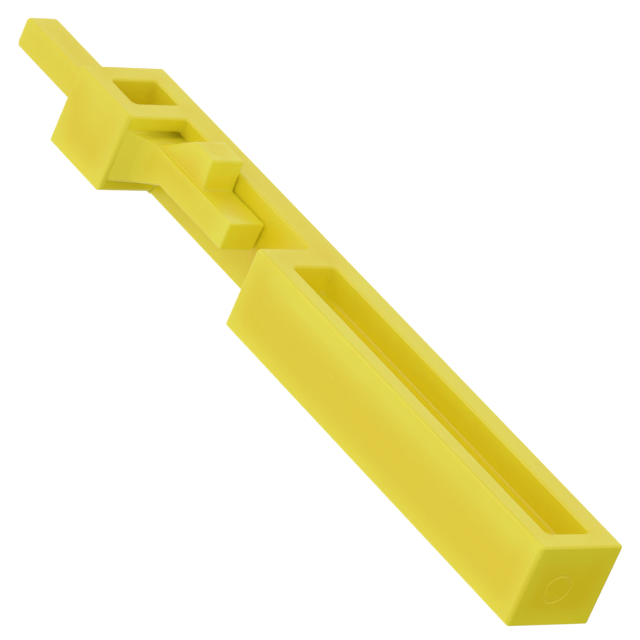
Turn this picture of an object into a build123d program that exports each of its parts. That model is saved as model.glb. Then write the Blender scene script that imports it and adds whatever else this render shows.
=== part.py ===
"""Keying plug for one empty cavity of a 2.54 mm pitch crimp-connector housing.

The plug is a single moulding. Its moulded features are separate solids here, so that the
flexing latch can move. +X points to the key prong, +Y to the open side of the latch, +Z up
out of the latch side. The origin is the centre of the outline on the base plane.
"""
from build123d import *
import math
import os

# ---- Driving dimensions, millimetres and degrees ----

# rear body: the long block that fills the wire end of the cavity, cored from above
body_width = 2.20
body_height = 1.95
rear_body_length = 10.74
pocket_rear_wall = 0.48
pocket_front_wall = 0.68
pocket_right_wall = 0.55
pocket_left_wall = 0.48
pocket_depth = 0.64
pocket_corner_radius = 0.12

# side rail: the spine beside the latch, whose inner face leans by the draft angle
rail_width = 0.85
inner_draft_angle = 4.0

# latch: beam, barb and release tab, with the beam's place given from the body's faces
tab_gap = 1.50
release_tab_length = 1.30
barb_flat_length = 0.84
ramp_length = 0.93
beam_left_from_right_face = 1.73
beam_top_drop = 0.39
beam_thickness = 0.66
barb_rise = 0.69
barb_rake = 0.08
barb_left_inset = 0.13
tab_corner_radius = 0.08

# latch root: the web where the beam joins the head
root_length = 0.47
nose_clearance = 0.05
side_clearance = 0.05

# head block: the stop shoulder, with a recess in its top
head_length = 2.09
head_stand_out = 0.08
head_foot_length = 0.10
head_foot_height = 0.24
head_edge_radius = 0.15
recess_rear_wall = 0.57
recess_front_wall = 0.55
recess_right_wall = 0.55
recess_left_wall = 0.48
recess_depth = 0.88
recess_corner_radius = 0.10

# key prong: the pin that fills the mating hole
prong_length = 2.38
prong_width = 0.81
prong_height = 0.72
prong_left_inset = 0.08
prong_top_drop = 0.19
prong_tip_chamfer = 0.14

# ---- Places worked out from them ----

overall_width = body_width + head_stand_out
latch_length = tab_gap + release_tab_length + barb_flat_length + ramp_length + root_length
overall_length = rear_body_length + latch_length + head_length + prong_length

rear_x = -overall_length / 2
body_front_x = rear_x + rear_body_length
tab_end_x = body_front_x + tab_gap
catch_x = tab_end_x + release_tab_length
ridge_x = catch_x + barb_flat_length
hinge_x = ridge_x + ramp_length
head_rear_x = hinge_x + root_length
shoulder_x = head_rear_x + head_length
tip_x = shoulder_x + prong_length

right_y = -overall_width / 2
body_left_y = right_y + body_width
head_left_y = right_y + overall_width
beam_left_y = right_y + beam_left_from_right_face
barb_left_y = beam_left_y - barb_left_inset
prong_left_y = head_left_y - prong_left_inset
prong_right_y = prong_left_y - prong_width

beam_top_z = body_height - beam_top_drop
beam_bottom_z = beam_top_z - beam_thickness
barb_top_z = beam_top_z + barb_rise
hinge_z = (beam_top_z + beam_bottom_z) / 2
prong_top_z = body_height - prong_top_drop
prong_bottom_z = prong_top_z - prong_height

nose_radius = beam_thickness / 2
seat_radius = nose_radius + nose_clearance
seat_mouth_x = hinge_x + math.sqrt(seat_radius**2 - nose_radius**2)
flare_radius = head_rear_x - seat_mouth_x


def rail_left_y(z):
    """Where the rail's leaning inner face is at a height above the base plane."""
    return right_y + rail_width - z * math.tan(math.radians(inner_draft_angle))


def block(x_span, y_span, z_span):
    """A box between two stations on each axis."""
    size = [high - low for low, high in (x_span, y_span, z_span)]
    corner = Pos(x_span[0], y_span[0], z_span[0])
    return corner * Box(*size, align=(Align.MIN, Align.MIN, Align.MIN))


def prism(corners, travel):
    """A flat outline of (x, y, z) corners, extruded along a vector."""
    outline = Polyline(*corners, close=True)
    return extrude(Face(Wire(outline.edges())), amount=Vector(travel).length, dir=travel)


def side_profile(points, y_span):
    """A closed outline of (x, z) points, extruded from the first y to the second."""
    corners = [(x, y_span[0], z) for x, z in points]
    return prism(corners, (0, y_span[1] - y_span[0], 0))


def rail_stretch(x_span, top_z, clearance=0):
    """The rail between two stations, grown to the left by a clearance."""
    corners = [
        (x_span[0], right_y, 0),
        (x_span[0], rail_left_y(0) + clearance, 0),
        (x_span[0], rail_left_y(top_z) + clearance, top_z),
        (x_span[0], right_y, top_z),
    ]
    return prism(corners, (x_span[1] - x_span[0], 0, 0))


def clear_of_rail(piece):
    """A latch piece without the slit that keeps it off the rail."""
    return piece - rail_stretch((body_front_x, head_rear_x), barb_top_z, side_clearance)


def pocket(x_span, y_span, top_z, depth, corner_radius):
    """The core of a recess that opens upwards, with rounded upright corners."""
    core = block(x_span, y_span, (top_z - depth, top_z))
    return fillet(core.edges().filter_by(Axis.Z), corner_radius)


def make_rear_body():
    body = block((rear_x, body_front_x), (right_y, body_left_y), (0, body_height))
    pocket_x = (rear_x + pocket_rear_wall, body_front_x - pocket_front_wall)
    pocket_y = (right_y + pocket_right_wall, body_left_y - pocket_left_wall)
    return body - pocket(pocket_x, pocket_y, body_height, pocket_depth, pocket_corner_radius)


def make_side_rail():
    return rail_stretch((body_front_x, head_rear_x), body_height)


def make_head_block():
    head = block((head_rear_x, shoulder_x), (right_y, head_left_y), (0, body_height))
    rear_left_edge = head.edges().filter_by(Axis.Z).group_by(Axis.X)[0].sort_by(Axis.Y)[-1]
    head = fillet(rear_left_edge, head_edge_radius)
    recess_x = (head_rear_x + recess_rear_wall, shoulder_x - recess_front_wall)
    recess_y = (right_y + recess_right_wall, head_left_y - recess_left_wall)
    head -= pocket(recess_x, recess_y, body_height, recess_depth, recess_corner_radius)
    foot = [
        (head_rear_x, 0),
        (head_rear_x + head_foot_length, 0),
        (head_rear_x, head_foot_height),
    ]
    return head - side_profile(foot, (rail_left_y(0), head_left_y))


def make_key_prong():
    prong = block(
        (shoulder_x, tip_x), (prong_right_y, prong_left_y), (prong_bottom_z, prong_top_z)
    )
    tip_edges = prong.faces().sort_by(Axis.X)[-1].edges()
    return chamfer(tip_edges, prong_tip_chamfer)


def make_latch_root():
    """The web between head and beam: a seat for the beam's nose, flared out to the head."""
    web = Polyline(
        (seat_mouth_x, beam_left_y),
        (seat_mouth_x, right_y),
        (head_rear_x, right_y),
        (head_rear_x, beam_left_y + flare_radius),
    )
    flare = RadiusArc(web @ 1, web @ 0, flare_radius)
    face = Pos(0, 0, beam_bottom_z) * Face(Wire(web.edges() + flare.edges()))
    root = extrude(face, amount=beam_thickness, dir=(0, 0, 1))
    seat = Cylinder(seat_radius, 2 * overall_width, rotation=(90, 0, 0))
    root -= Pos(hinge_x, 0, hinge_z) * seat
    return root - rail_stretch((seat_mouth_x, head_rear_x), body_height)


def make_latch_beam():
    """The beam under the barb, with a round nose about the hinge axis."""
    outline = Polyline(
        (hinge_x, right_y, beam_top_z),
        (catch_x, right_y, beam_top_z),
        (catch_x, right_y, beam_bottom_z),
        (hinge_x, right_y, beam_bottom_z),
    )
    nose_end = (hinge_x + nose_radius, right_y, hinge_z)
    nose = ThreePointArc(outline @ 1, nose_end, outline @ 0)
    face = Face(Wire(outline.edges() + nose.edges()))
    return clear_of_rail(extrude(face, amount=beam_left_from_right_face, dir=(0, 1, 0)))


def make_latch_barb():
    """The hook on the beam: a raked catch face, a flat top and a ramp down to the hinge."""
    outline = [
        (catch_x, beam_top_z),
        (catch_x + barb_rake, barb_top_z),
        (ridge_x, barb_top_z),
        (hinge_x, beam_top_z),
    ]
    return clear_of_rail(side_profile(outline, (right_y, barb_left_y)))


def make_release_tab():
    """The beam's free tail behind the barb, which is pressed to let the plug go."""
    tab = block((tab_end_x, catch_x), (right_y, beam_left_y), (beam_bottom_z, beam_top_z))
    end_edges = tab.faces().sort_by(Axis.X)[0].edges().filter_by(Axis.Y)
    return clear_of_rail(fillet(end_edges, tab_corner_radius))


sub_parts = {
    "rear_body": make_rear_body(),
    "side_rail": make_side_rail(),
    "head_block": make_head_block(),
    "key_prong": make_key_prong(),
    "latch_root": make_latch_root(),
    "latch_beam": make_latch_beam(),
    "latch_barb": make_latch_barb(),
    "release_tab": make_release_tab(),
}

os.makedirs("parts", exist_ok=True)
for name, shape in sub_parts.items():
    shape.label = name
    export_step(shape, f"parts/{name}.step")
    print(f"{name}: {shape.volume:.4f} mm3")
print(f"overall {overall_length:.2f} x {overall_width:.2f} x {barb_top_z:.2f} mm")
print(f"hinge at x {hinge_x:.3f}, z {hinge_z:.3f}, shoulder at x {shoulder_x:.3f}")
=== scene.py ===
"""Yellow moulded keying plug: its visual meshes, material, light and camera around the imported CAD.

The plug is one moulding, so two closed meshes stand for its eight CAD nodes: the stiff body, and
the latch, which bends out of the head. Meshes are built in millimetres and scaled to metres. The
gusset under the latch's root is in the mesh only; the CAD root doesn't have it.
"""
import math

import bmesh
import bpy
from mathutils import Matrix, Vector


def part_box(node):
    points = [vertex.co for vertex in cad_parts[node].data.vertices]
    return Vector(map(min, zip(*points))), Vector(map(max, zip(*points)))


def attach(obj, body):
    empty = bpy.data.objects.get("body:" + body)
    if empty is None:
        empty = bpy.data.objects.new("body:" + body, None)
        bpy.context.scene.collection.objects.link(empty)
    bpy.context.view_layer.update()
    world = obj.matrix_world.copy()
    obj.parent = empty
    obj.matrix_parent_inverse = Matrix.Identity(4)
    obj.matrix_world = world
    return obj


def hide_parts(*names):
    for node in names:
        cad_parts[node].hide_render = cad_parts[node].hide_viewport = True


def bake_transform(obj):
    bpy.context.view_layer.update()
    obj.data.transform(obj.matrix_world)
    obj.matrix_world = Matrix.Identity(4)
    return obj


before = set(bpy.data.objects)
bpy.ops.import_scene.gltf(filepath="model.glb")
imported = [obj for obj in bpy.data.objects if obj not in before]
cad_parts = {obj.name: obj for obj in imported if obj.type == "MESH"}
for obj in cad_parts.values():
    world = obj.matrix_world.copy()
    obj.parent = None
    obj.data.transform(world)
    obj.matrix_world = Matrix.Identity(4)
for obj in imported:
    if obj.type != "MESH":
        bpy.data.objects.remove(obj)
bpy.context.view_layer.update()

MM = 0.001

# ---- Sizes of the moulding that the nodes' boxes don't show, in millimetres and degrees ----

inner_draft = math.radians(4.0)
pocket_draft = math.radians(1.5)
sharp_angle = math.radians(28)
edge_radius = 0.06
body_edge_radius = 0.10
latch_edge_radius = 0.05
slit_edge_radius = 0.04
head_edge_radius = 0.12
rail_fillet = 0.24
slit_width = 0.042
sliver = 0.003
embed = 0.06
flange_thickness = 0.10
root_fillet = 0.08
flare_y = 1.06
flare_angle = math.radians(55)
flare_radius = 0.45
gusset_length = 1.05
gusset_low_z = 0.33

pocket_rear_wall = 0.48
pocket_front_wall = 0.68
pocket_right_wall = 0.55
pocket_left_wall = 0.48
pocket_depth = 0.64
pocket_corner_radius = 0.14

recess_rear_wall = 0.57
recess_front_wall = 0.55
recess_right_wall = 0.55
recess_left_wall = 0.48
recess_depth = 0.88
recess_corner_radius = 0.12

head_foot_radius = 0.20
barb_rake = 0.08
barb_flat_length = 0.84
barb_left_inset = 0.13
prong_tip_chamfer = 0.14

gate_y = 0.14
gate_z = 0.92
gate_radius = 0.32
gate_ring_radius = 0.05
gate_ring_depth = 0.015


def box_in_mm(node):
    """The lowest and highest corner of a CAD node, in millimetres."""
    low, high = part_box(node)
    return low / MM, high / MM


rear_low, rear_high = box_in_mm("rear_body")
rail_low, rail_high = box_in_mm("side_rail")
head_low, head_high = box_in_mm("head_block")
prong_low, prong_high = box_in_mm("key_prong")
root_low, root_high = box_in_mm("latch_root")
beam_low, beam_high = box_in_mm("latch_beam")
barb_low, barb_high = box_in_mm("latch_barb")
tab_low, tab_high = box_in_mm("release_tab")
top_z = rear_high.z


def rail_left_y(z):
    """Where the rail's leaning inner face is at a height above the base plane."""
    return rail_high.y - z * math.tan(inner_draft)


# ---- Mesh tools ----

def rounded(corners, arc_step=math.radians(7.5)):
    """The points of a closed outline of (x, y, radius) corners, with each corner as an arc."""
    points = []
    for index, (x, y, radius) in enumerate(corners):
        corner = Vector((x, y))
        if radius == 0:
            points.append(corner)
            continue
        after_x, after_y, _ = corners[(index + 1) % len(corners)]
        before = (Vector(corners[index - 1][:2]) - corner).normalized()
        after = (Vector((after_x, after_y)) - corner).normalized()
        half_angle = before.angle(after) / 2
        centre = corner + (before + after).normalized() * radius / math.sin(half_angle)
        start = corner + before * radius / math.tan(half_angle) - centre
        end = corner + after * radius / math.tan(half_angle) - centre
        steps = math.ceil(start.angle(end) / arc_step)
        for step in range(steps + 1):
            points.append(centre + start.slerp(end, step / steps).normalized() * radius)
    return points


def new_piece(name, bm):
    """A mesh object made from a bmesh, with its faces turned outwards."""
    bmesh.ops.recalc_face_normals(bm, faces=bm.faces)
    mesh = bpy.data.meshes.new(name)
    bm.to_mesh(mesh)
    bm.free()
    piece = bpy.data.objects.new(name, mesh)
    bpy.context.scene.collection.objects.link(piece)
    return piece


def loft(name, lower, upper):
    """A closed solid between two rings of the same number of points."""
    bm = bmesh.new()
    low_ring = [bm.verts.new(point) for point in lower]
    high_ring = [bm.verts.new(point) for point in upper]
    for index, vertex in enumerate(low_ring):
        around = index - 1
        bm.faces.new((low_ring[around], vertex, high_ring[index], high_ring[around]))
    bm.faces.new(low_ring)
    bm.faces.new(high_ring)
    return new_piece(name, bm)


def upright(name, outline, low_z, high_z):
    """A solid between two heights, where outline gives the (x, y) points at a height."""
    lower = [(x, y, low_z) for x, y in outline(low_z)]
    upper = [(x, y, high_z) for x, y in outline(high_z)]
    return loft(name, lower, upper)


def sideways(name, profile, right_y, left_y):
    """A solid from an outline of (x, z) points, between a right side that may lean and a left."""
    right = [(x, right_y(z), z) for x, z in profile]
    left = [(x, left_y, z) for x, z in profile]
    return loft(name, right, left)


def applied(piece):
    """The piece with its modifiers applied to its mesh."""
    depsgraph = bpy.context.evaluated_depsgraph_get()
    mesh = bpy.data.meshes.new_from_object(piece.evaluated_get(depsgraph))
    piece.modifiers.clear()
    piece.data = mesh
    return piece


def combine(piece, tool, operation):
    """Adds a tool's solid to the piece, or takes it away, and removes the tool."""
    modifier = piece.modifiers.new("combine", "BOOLEAN")
    modifier.operation = operation
    modifier.solver = "EXACT"
    modifier.object = tool
    applied(piece)
    bpy.data.objects.remove(tool)


def round_edges(piece, widest, radius_at):
    """Rounds every sharp edge and inner corner, to the radius that radius_at gives its middle."""
    bm = bmesh.new()
    bm.from_mesh(piece.data)
    flat = math.radians(0.1)
    bmesh.ops.remove_doubles(bm, verts=bm.verts, dist=sliver / 4)
    bmesh.ops.dissolve_limit(bm, angle_limit=flat, verts=bm.verts, edges=bm.edges)
    weight = bm.edges.layers.float.new("bevel_weight_edge")
    for edge in bm.edges:
        if edge.calc_face_angle() > sharp_angle:
            middle = (edge.verts[0].co + edge.verts[1].co) / 2
            edge[weight] = radius_at(middle) / widest
    bm.to_mesh(piece.data)
    bm.free()
    modifier = piece.modifiers.new("round", "BEVEL")
    modifier.width = widest
    modifier.segments = 5
    modifier.limit_method = "WEIGHT"
    modifier.use_clamp_overlap = False
    applied(piece)


def finish_surface(piece):
    """Smooth shading that keeps flat faces flat, corners kept in the box, and metres for mm."""
    for vertex in piece.data.vertices:
        vertex.co.y = max(head_low.y, min(vertex.co.y, head_high.y))
    piece.data.shade_smooth()
    modifier = piece.modifiers.new("normals", "WEIGHTED_NORMAL")
    modifier.mode = "FACE_AREA"
    modifier.weight = 80
    applied(piece)
    piece.data.transform(Matrix.Scale(MM, 4))


# ---- The stiff body: rear body, side rail, head block and key prong in one skin ----

def body_outline(z):
    rail_y = rail_left_y(z)
    return rounded([
        (rear_low.x, rear_low.y, 0),
        (head_high.x, head_low.y, 0),
        (head_high.x, head_high.y, 0),
        (head_low.x, head_high.y, head_edge_radius),
        (head_low.x, rail_y, 0),
        (rear_high.x, rail_y, rail_fillet),
        (rear_high.x, rear_high.y, 0),
        (rear_low.x, rear_high.y, 0),
    ])


def cored(name, low, high, walls, depth, corner_radius):
    """The core of a pocket inside a block, whose walls part a little towards the top."""
    rear_wall, front_wall, right_wall, left_wall = walls

    def outline(z):
        drafted = (z - top_z) * math.tan(pocket_draft)
        x_low = low.x + rear_wall - drafted
        x_high = high.x - front_wall + drafted
        y_low = low.y + right_wall - drafted
        y_high = high.y - left_wall + drafted
        return rounded([
            (x_low, y_low, corner_radius),
            (x_high, y_low, corner_radius),
            (x_high, y_high, corner_radius),
            (x_low, y_high, corner_radius),
        ])

    return upright(name, outline, top_z - depth, top_z + embed)


def make_prong():
    """The square pin with a chamfered tip, which reaches a little into the head."""
    shoulder_x = head_high.x - embed

    def ring(x, inset):
        y_low = prong_low.y + inset
        y_high = prong_high.y - inset
        z_low = prong_low.z + inset
        z_high = prong_high.z - inset
        return [(x, y_low, z_low), (x, y_high, z_low), (x, y_high, z_high), (x, y_low, z_high)]

    neck_x = prong_high.x - prong_tip_chamfer
    prong = loft("prong", ring(shoulder_x, 0), ring(neck_x, 0))
    tip = loft("tip", ring(neck_x, 0), ring(prong_high.x, prong_tip_chamfer))
    combine(prong, tip, "UNION")
    return prong


def make_gate_ring():
    """A ring that is pressed into the rear face to leave the mark of the mould's gate."""
    bm = bmesh.new()
    rings = []
    turns = 64
    sides = 16
    sunk_x = rear_low.x - gate_ring_radius + gate_ring_depth
    for turn in range(turns):
        angle = math.tau * turn / turns
        ring = []
        for side in range(sides):
            around = math.tau * side / sides
            reach = gate_radius + gate_ring_radius * math.cos(around)
            y = gate_y + reach * math.cos(angle)
            z = gate_z + reach * math.sin(angle)
            ring.append(bm.verts.new((sunk_x + gate_ring_radius * math.sin(around), y, z)))
        rings.append(ring)
    for turn, ring in enumerate(rings):
        for side, vertex in enumerate(ring):
            last = rings[turn - 1]
            bm.faces.new((last[side - 1], last[side], vertex, ring[side - 1]))
    return new_piece("gate_ring", bm)


def body_radius_at(middle):
    """The moulding's long left edges are rounder than the rest."""
    on_rear_left = middle.x < rear_high.x and middle.y > rear_high.y - embed
    return body_edge_radius if on_rear_left else edge_radius


def make_body():
    body = upright("plug_moulding", body_outline, rear_low.z, top_z)
    pocket_walls = (pocket_rear_wall, pocket_front_wall, pocket_right_wall, pocket_left_wall)
    recess_walls = (recess_rear_wall, recess_front_wall, recess_right_wall, recess_left_wall)
    pocket = cored("pocket", rear_low, rear_high, pocket_walls, pocket_depth, pocket_corner_radius)
    recess = cored("recess", head_low, head_high, recess_walls, recess_depth, recess_corner_radius)
    combine(body, pocket, "DIFFERENCE")
    combine(body, recess, "DIFFERENCE")
    combine(body, make_prong(), "UNION")
    round_edges(body, body_edge_radius, body_radius_at)
    foot = [
        (head_low.x - embed, -embed, 0),
        (head_low.x + head_foot_radius, -embed, 0),
        (head_low.x + head_foot_radius, 0, 0),
        (head_low.x, 0, head_foot_radius),
        (head_low.x, head_foot_radius, 0),
        (head_low.x - embed, head_foot_radius, 0),
    ]

    def beside_rail_y(z):
        return rail_left_y(z) + sliver

    cut = sideways("foot", rounded(foot), beside_rail_y, head_high.y + embed)
    combine(body, cut, "DIFFERENCE")
    combine(body, make_gate_ring(), "DIFFERENCE")
    finish_surface(body)
    return body


# ---- The latch: root, beam, barb and release tab in one skin ----

def latch_right_y(z):
    return rail_left_y(z) + slit_width


slit_end_x = (root_low.x + barb_high.x) / 2
flange_x = head_low.x + sliver


def latch_radius_at(middle):
    """Edges hidden in the rail and the head stay sharp; the root's edges fade towards the head."""
    if middle.y < rail_left_y(middle.z) - sliver:
        return 0
    beside_rail = middle.y < latch_right_y(middle.z) + slit_width / 2
    radius = slit_edge_radius if beside_rail else latch_edge_radius
    return max(0, min(radius, 0.7 * (flange_x - middle.x)))


def make_root():
    """The web, the flare and the gusset below them, with a flange hidden inside the head."""
    start_x = flange_x - gusset_length
    hidden_x = flange_x + flange_thickness
    hidden_y = rail_left_y(beam_high.z) - 2 * embed
    flare_length = (flare_y - beam_high.y) / math.tan(flare_angle)
    low_z = gusset_low_z - embed / 2
    high_z = beam_high.z + 3 * root_fillet

    def plan(z):
        return rounded([
            (slit_end_x, hidden_y, 0),
            (hidden_x, hidden_y, 0),
            (hidden_x, flare_y, 0),
            (flange_x, flare_y, 0),
            (flange_x - flare_length, beam_high.y, flare_radius),
            (start_x, beam_high.y, 0),
            (start_x, latch_right_y(z), 0),
            (slit_end_x, latch_right_y(z), 0),
        ])

    side = [
        (start_x, beam_low.z, 0),
        (flange_x, gusset_low_z, 0),
        (flange_x, low_z, 0),
        (hidden_x, low_z, 0),
        (hidden_x, high_z, 0),
        (flange_x, high_z, 0),
        (flange_x, beam_high.z, root_fillet),
        (start_x, beam_high.z, 0),
    ]
    def beyond_y(z):
        return hidden_y - embed

    root = upright("root", plan, low_z, high_z)
    profile = sideways("root_side", rounded(side), beyond_y, flare_y + embed)
    combine(root, profile, "INTERSECT")
    return root


def make_latch():
    barb_left_y = beam_high.y - barb_left_inset
    inside_y = (beam_high.y + rail_high.y) / 2
    inside_x = slit_end_x + embed / 2
    side = [
        (tab_low.x, beam_low.z),
        (inside_x, beam_low.z),
        (inside_x, beam_high.z),
        (barb_high.x, beam_high.z),
        (barb_low.x + barb_flat_length, barb_high.z),
        (barb_low.x + barb_rake, barb_high.z),
        (barb_low.x, beam_high.z),
        (tab_low.x, beam_high.z),
    ]
    latch = sideways("latch_moulding", side, latch_right_y, barb_left_y)

    def left_part(z):
        return rounded([
            (tab_low.x, inside_y, 0),
            (inside_x, inside_y, 0),
            (inside_x, beam_high.y, 0),
            (tab_low.x, beam_high.y, 0),
        ])

    beam_left = upright("beam_left", left_part, beam_low.z, beam_high.z)
    combine(latch, beam_left, "UNION")
    combine(latch, make_root(), "UNION")
    round_edges(latch, latch_edge_radius, latch_radius_at)
    bm = bmesh.new()
    bm.from_mesh(latch.data)
    for step in range(10):
        station = Vector((barb_high.x - 0.4 + step * 0.08, 0, 0))
        geometry = bm.verts[:] + bm.edges[:] + bm.faces[:]
        bmesh.ops.bisect_plane(bm, geom=geometry, plane_co=station, plane_no=(1, 0, 0))
    bm.to_mesh(latch.data)
    bm.free()
    finish_surface(latch)
    return latch


# ---- Material ----

deep_yellow = (0.85, 0.66, 0.006, 1)
# Pale yellow: a painted highlight and glow at thin walls and edges, and also the colour of the
# random pale specks.
painted_glow_and_speck_yellow = (0.87, 0.81, 0.045, 1)
warm_yellow = (0.84, 0.68, 0.010, 1)
# Painted glow: a brighter yellow for recesses, standing in for light bounced inside them.
painted_recess_glow_yellow = (1.0, 0.92, 0.02, 1)
thin_reach = 0.6
recess_reach = 0.9
sss_weight = 0.12
sss_scale = 0.12


def add(tree, kind, **settings):
    """A new node with its inputs set by name, spaces written as underscores."""
    node = tree.nodes.new(kind)
    for name, value in settings.items():
        node.inputs[name.replace("_", " ")].default_value = value
    return node


def span(tree, source, low, high, to_low=0.0, to_high=1.0):
    """The source's range from low to high, mapped to another range and held inside it."""
    node = tree.nodes.new("ShaderNodeMapRange")
    node.inputs["From Min"].default_value = low
    node.inputs["From Max"].default_value = high
    node.inputs["To Min"].default_value = to_low
    node.inputs["To Max"].default_value = to_high
    tree.links.new(source, node.inputs["Value"])
    return node.outputs["Result"]


def blended(tree, factor, first, second):
    """A colour between two, each given as a colour or as another node's output."""
    node = tree.nodes.new("ShaderNodeMix")
    node.data_type = "RGBA"
    tree.links.new(factor, node.inputs[0])
    for slot, value in ((6, first), (7, second)):
        if isinstance(value, tuple):
            node.inputs[slot].default_value = value
        else:
            tree.links.new(value, node.inputs[slot])
    return node.outputs[2]


def product(tree, first, second):
    node = tree.nodes.new("ShaderNodeMath")
    node.operation = "MULTIPLY"
    tree.links.new(first, node.inputs[0])
    if isinstance(second, float):
        node.inputs[1].default_value = second
    else:
        tree.links.new(second, node.inputs[1])
    return node.outputs[0]


def nearness(tree, inside, distance):
    """How much of the surface's surroundings, inside or outside, is closed in by other faces."""
    node = tree.nodes.new("ShaderNodeAmbientOcclusion")
    node.inside = inside
    node.samples = 12
    node.inputs["Distance"].default_value = distance * MM
    return node.outputs["AO"]


def noise(tree, place, size, detail):
    """Noise whose features are about a size in millimetres."""
    node = add(tree, "ShaderNodeTexNoise", Scale=1 / (size * MM), Detail=detail)
    tree.links.new(place, node.inputs["Vector"])
    return node.outputs["Fac"]


def make_plastic():
    """Translucent yellow moulded plastic, with light painted into its colour: a paler painted
    highlight and glow at thin walls and edges, and a brighter painted glow of bounced light in
    recesses.
    """
    material = bpy.data.materials.new("yellow_plastic")
    material.use_nodes = True
    tree = material.node_tree
    tree.nodes.clear()
    output = tree.nodes.new("ShaderNodeOutputMaterial")
    shader = tree.nodes.new("ShaderNodeBsdfPrincipled")
    tree.links.new(shader.outputs["BSDF"], output.inputs["Surface"])
    shader.inputs["IOR"].default_value = 1.5
    shader.inputs["Subsurface Weight"].default_value = sss_weight
    shader.inputs["Subsurface Radius"].default_value = (1.0, 0.8, 0.3)
    shader.inputs["Subsurface Scale"].default_value = sss_scale * MM
    place = tree.nodes.new("ShaderNodeTexCoord").outputs["Object"]

    # Painted highlight and glow: the colour turns paler where the plastic is thin, at edges and thin
    # walls, in patches, and less so in recesses.
    thin = span(tree, nearness(tree, True, thin_reach), 0.98, 0.45)
    mottle = noise(tree, place, 1.1, 3.0)
    painted_edge_glow = product(tree, thin, span(tree, mottle, 0.3, 0.7, 0.75, 1.0))
    # Painted glow of bounced light: the colour turns brighter where the surface is closed in by
    # other faces, in recesses.
    closed = span(tree, nearness(tree, False, recess_reach), 0.78, 0.25)
    colour = blended(tree, closed, deep_yellow, painted_recess_glow_yellow)
    painted_edge_glow_outside_recesses = product(tree, painted_edge_glow, span(tree, closed, 0.0, 1.0, 1.0, 0.45))
    colour = blended(tree, painted_edge_glow_outside_recesses, colour, painted_glow_and_speck_yellow)
    clouds = noise(tree, place, 3.2, 4.0)
    colour = blended(tree, span(tree, clouds, 0.35, 0.7, 0.0, 0.4), colour, warm_yellow)
    specks = noise(tree, place, 0.16, 1.0)
    colour = blended(tree, span(tree, specks, 0.68, 0.78, 0.0, 0.35), colour, painted_glow_and_speck_yellow)
    tree.links.new(colour, shader.inputs["Base Color"])

    matt = span(tree, mottle, 0.3, 0.7, 0.34, 0.46)
    polish = span(tree, thin, 0.55, 0.95, 1.0, 0.55)
    tree.links.new(product(tree, matt, polish), shader.inputs["Roughness"])

    sink = add(tree, "ShaderNodeBump", Strength=0.5, Distance=0.02 * MM)
    tree.links.new(noise(tree, place, 0.9, 1.0), sink.inputs["Height"])
    grain = add(tree, "ShaderNodeBump", Strength=0.35, Distance=0.0025 * MM)
    tree.links.new(noise(tree, place, 0.09, 2.0), grain.inputs["Height"])
    tree.links.new(sink.outputs["Normal"], grain.inputs["Normal"])
    tree.links.new(grain.outputs["Normal"], shader.inputs["Normal"])
    return material


plastic = make_plastic()

body = make_body()
body.data.materials.clear()
body.data.materials.append(plastic)
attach(body, "plug_body")
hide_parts("rear_body", "side_rail", "head_block", "key_prong")

latch = make_latch()
latch.data.materials.clear()
latch.data.materials.append(plastic)
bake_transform(latch)
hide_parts("latch_root", "latch_beam", "latch_barb", "release_tab")


# ---- Floor, light and camera ----

sky_low = 1.04
sky_high = 0.62
below_rear = 0.66
below_front = 1.02
dark_patch = (-0.635, -0.645, -0.425)
floor_glow = 1.0


def make_floor():
    bm = bmesh.new()
    bmesh.ops.create_grid(bm, x_segments=1, y_segments=1, size=3.0)
    bmesh.ops.translate(bm, verts=bm.verts, vec=(0, 0, -0.000002))
    floor = new_piece("floor", bm)
    material = bpy.data.materials.new("pale_floor")
    material.use_nodes = True
    shader = material.node_tree.nodes["Principled BSDF"]
    shader.inputs["Base Color"].default_value = (0.06, 0.06, 0.06, 1)
    shader.inputs["Roughness"].default_value = 0.9
    shader.inputs["Specular IOR Level"].default_value = 0.0
    shader.inputs["Emission Color"].default_value = (1, 1, 1, 1)
    shader.inputs["Emission Strength"].default_value = floor_glow
    floor.data.materials.append(material)
    floor.visible_glossy = False
    floor.visible_diffuse = False


def make_light(name, azimuth, elevation, distance, size, power):
    """A square soft light that points at the object, from an azimuth as the camera's."""
    light = bpy.data.lights.new(name, "AREA")
    light.shape = "SQUARE"
    light.size = size
    light.energy = power
    lamp = bpy.data.objects.new(name, light)
    lamp.location = view_back(azimuth, elevation) * distance
    lamp.rotation_mode = "QUATERNION"
    lamp.rotation_quaternion = lamp.location.to_track_quat("Z", "Y")
    bpy.context.scene.collection.objects.link(lamp)
    return lamp


def view_back(azimuth, elevation):
    """The direction from the object towards a viewer at an azimuth and elevation, in degrees."""
    a = math.radians(azimuth)
    e = math.radians(elevation)
    return Vector((math.sin(a) * math.cos(e), -math.cos(a) * math.cos(e), math.sin(e)))


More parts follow.
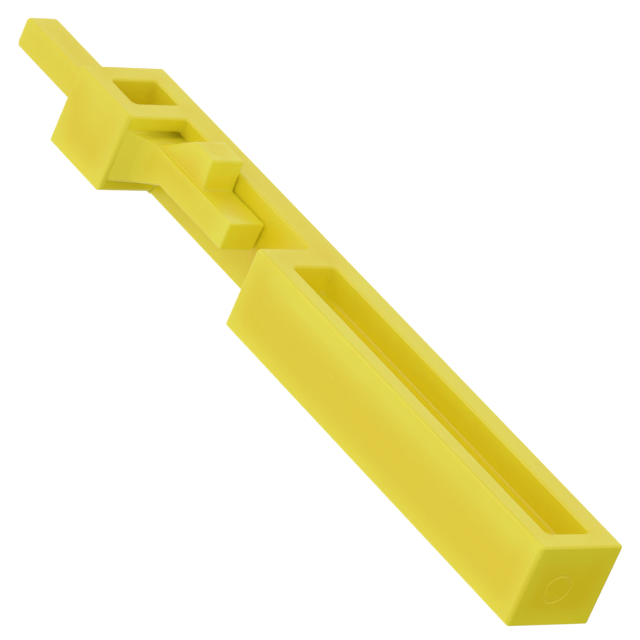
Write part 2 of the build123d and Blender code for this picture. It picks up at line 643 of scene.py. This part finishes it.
def make_camera():
    azimuth = 224.536
    elevation = 25.164
    roll = math.radians(23.792)
    distance = 0.13617
    aim = Vector((-0.5056, -0.3664, 0.9011)) * MM
    back = view_back(azimuth, elevation)
    level = Vector((math.cos(math.radians(azimuth)), math.sin(math.radians(azimuth)), 0))
    upward = back.cross(level)
    right = level * math.cos(roll) + upward * math.sin(roll)
    up = upward * math.cos(roll) - level * math.sin(roll)
    data = bpy.data.cameras.new("camera")
    data.sensor_width = 36
    data.lens = 365.625
    data.clip_start = 0.005
    data.clip_end = 20
    camera = bpy.data.objects.new("camera", data)
    axes = Matrix((right, up, back)).transposed()
    camera.matrix_world = Matrix.Translation(aim + back * distance) @ axes.to_4x4()
    bpy.context.scene.collection.objects.link(camera)
    bpy.context.scene.camera = camera


def make_world():
    """White all round. Below the floor, which bounced light passes, it dims towards the rear."""
    world = bpy.data.worlds.new("studio")
    world.use_nodes = True
    tree = world.node_tree
    background = tree.nodes["Background"]
    background.inputs["Color"].default_value = (1, 1, 1, 1)
    direction = tree.nodes.new("ShaderNodeTexCoord").outputs["Generated"]
    axes = tree.nodes.new("ShaderNodeSeparateXYZ")
    tree.links.new(direction, axes.inputs["Vector"])
    below = span(tree, axes.outputs["X"], -0.7, 0.7, below_rear, below_front)
    towards = tree.nodes.new("ShaderNodeVectorMath")
    towards.operation = "DOT_PRODUCT"
    towards.inputs[1].default_value = dark_patch
    tree.links.new(direction, towards.inputs[0])
    patch = span(tree, towards.outputs["Value"], 0.65, 0.95, 1.0, 0.05)
    below = product(tree, below, patch)
    sky = span(tree, axes.outputs["Z"], 0.0, 1.0, sky_low, sky_high)
    level = span(tree, axes.outputs["Z"], -0.05, 0.05)
    strength = tree.nodes.new("ShaderNodeMix")
    tree.links.new(level, strength.inputs[0])
    tree.links.new(below, strength.inputs[2])
    tree.links.new(sky, strength.inputs[3])
    tree.links.new(strength.outputs[0], background.inputs["Strength"])
    bpy.context.scene.world = world


make_floor()
make_world()
make_light("key", 130, 40, 0.6, 0.35, 0.30)
make_light("fill", 262, 55, 0.6, 0.35, 0.18)
make_light("glint", 123, 39, 0.6, 0.06, 0.07)
make_camera()
bpy.context.scene.view_settings.view_transform = "Standard"
